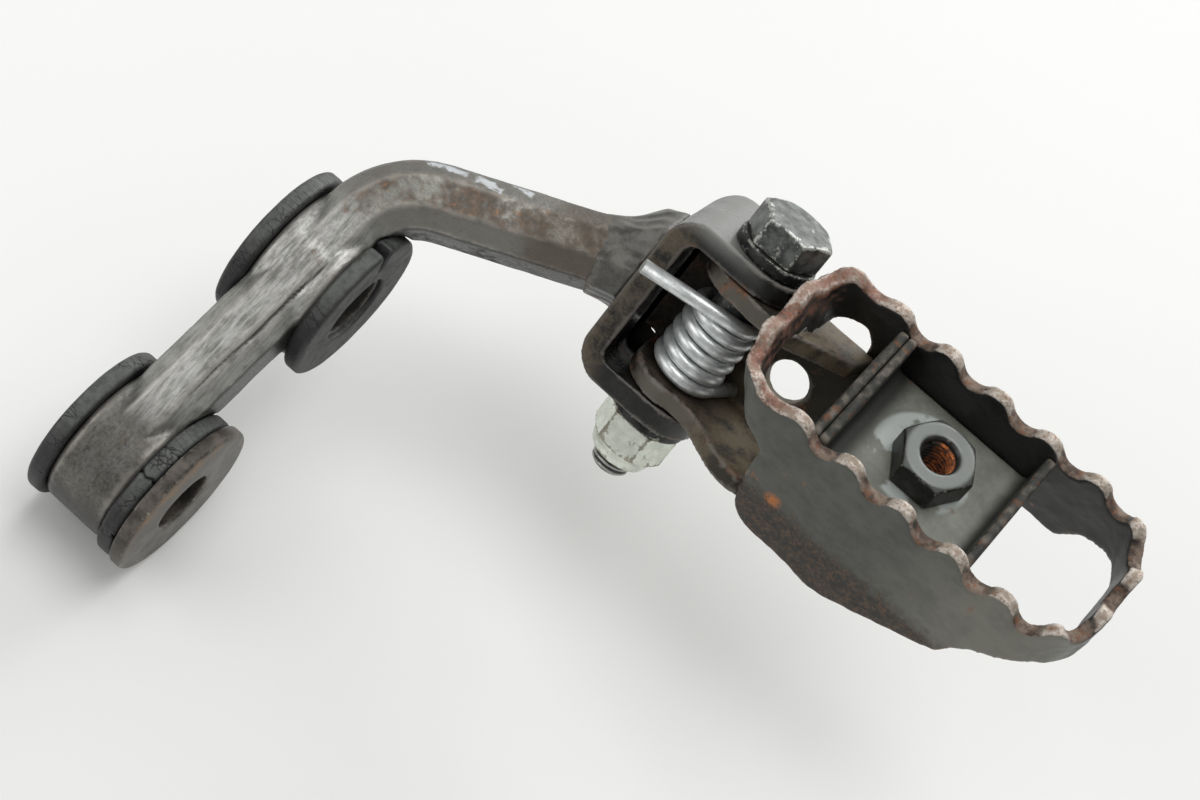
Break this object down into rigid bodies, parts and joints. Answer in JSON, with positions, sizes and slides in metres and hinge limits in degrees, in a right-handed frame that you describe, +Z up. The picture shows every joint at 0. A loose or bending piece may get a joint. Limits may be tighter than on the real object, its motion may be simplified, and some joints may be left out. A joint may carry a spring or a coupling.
{
  "type": "motorcycle footrest bracket",
  "caption": "Forged support arm with rubber-bushed mounting eyes and a sprung clevis that carries a folding serrated footpeg.",
  "frame": {"origin": "on the axis of the upper mounting eye, at the middle of the eye's width", "axes": "+X outward along the mounting bolts and the footpeg, +Y forward, +Z up and square to the tread"},
  "size_m": [0.2005, 0.1428, 0.109],
  "materials": {
    "arm_paint": "worn black paint over rusty forged steel",
    "clevis_paint": "worn black paint, rust at the edges",
    "weld": "painted weld bead",
    "rubber": "aged, cracked rubber",
    "sleeve_steel": "dull steel",
    "washer_steel": "dull steel with brown stain",
    "bolt_steel": "grey plated steel, flecked",
    "nut_zinc": "zinc plate",
    "nylon": "dark nylon",
    "spring_steel": "bright plated wire",
    "tread_steel": "worn paint, bare rusty tooth tops",
    "pan_steel": "dusty grey paint",
    "channel_paint": "worn black paint",
    "insert_steel": "dull steel, rusty thread"
  },
  "bodies": {
    "bracket": {"support_arm": "arm_paint", "clevis": "clevis_paint", "clevis_weld": "weld", "upper_inner_rubber": "rubber", "upper_outer_rubber": "rubber", "upper_sleeve": "sleeve_steel", "lower_inner_rubber": "rubber", "lower_outer_rubber": "rubber", "lower_sleeve": "sleeve_steel", "lower_plate_washer": "washer_steel", "pivot_bolt": "bolt_steel", "head_washer": "bolt_steel", "nut_washer": "bolt_steel", "lock_nut": "nut_zinc", "lock_nut_ring": "nylon", "return_spring": "spring_steel"},
    "footpeg": {"tread_rim": "tread_steel", "tread_pan": "pan_steel", "cross_plate": "pan_steel", "insert_nut": "insert_steel", "hinge_channel": "channel_paint"}
  },
  "joints": [
    {"name": "footpeg_fold", "type": "hinge", "parent": "bracket", "child": "footpeg", "pos_m": [0.078, 0.0409, 0.0279], "axis": [0, -0.5, -0.866], "range_deg": [0, 75], "stiffness_Nm_per_rad": 0.5, "springref_deg": -68.75, "deforming": ["return_spring"]}
  ]
}
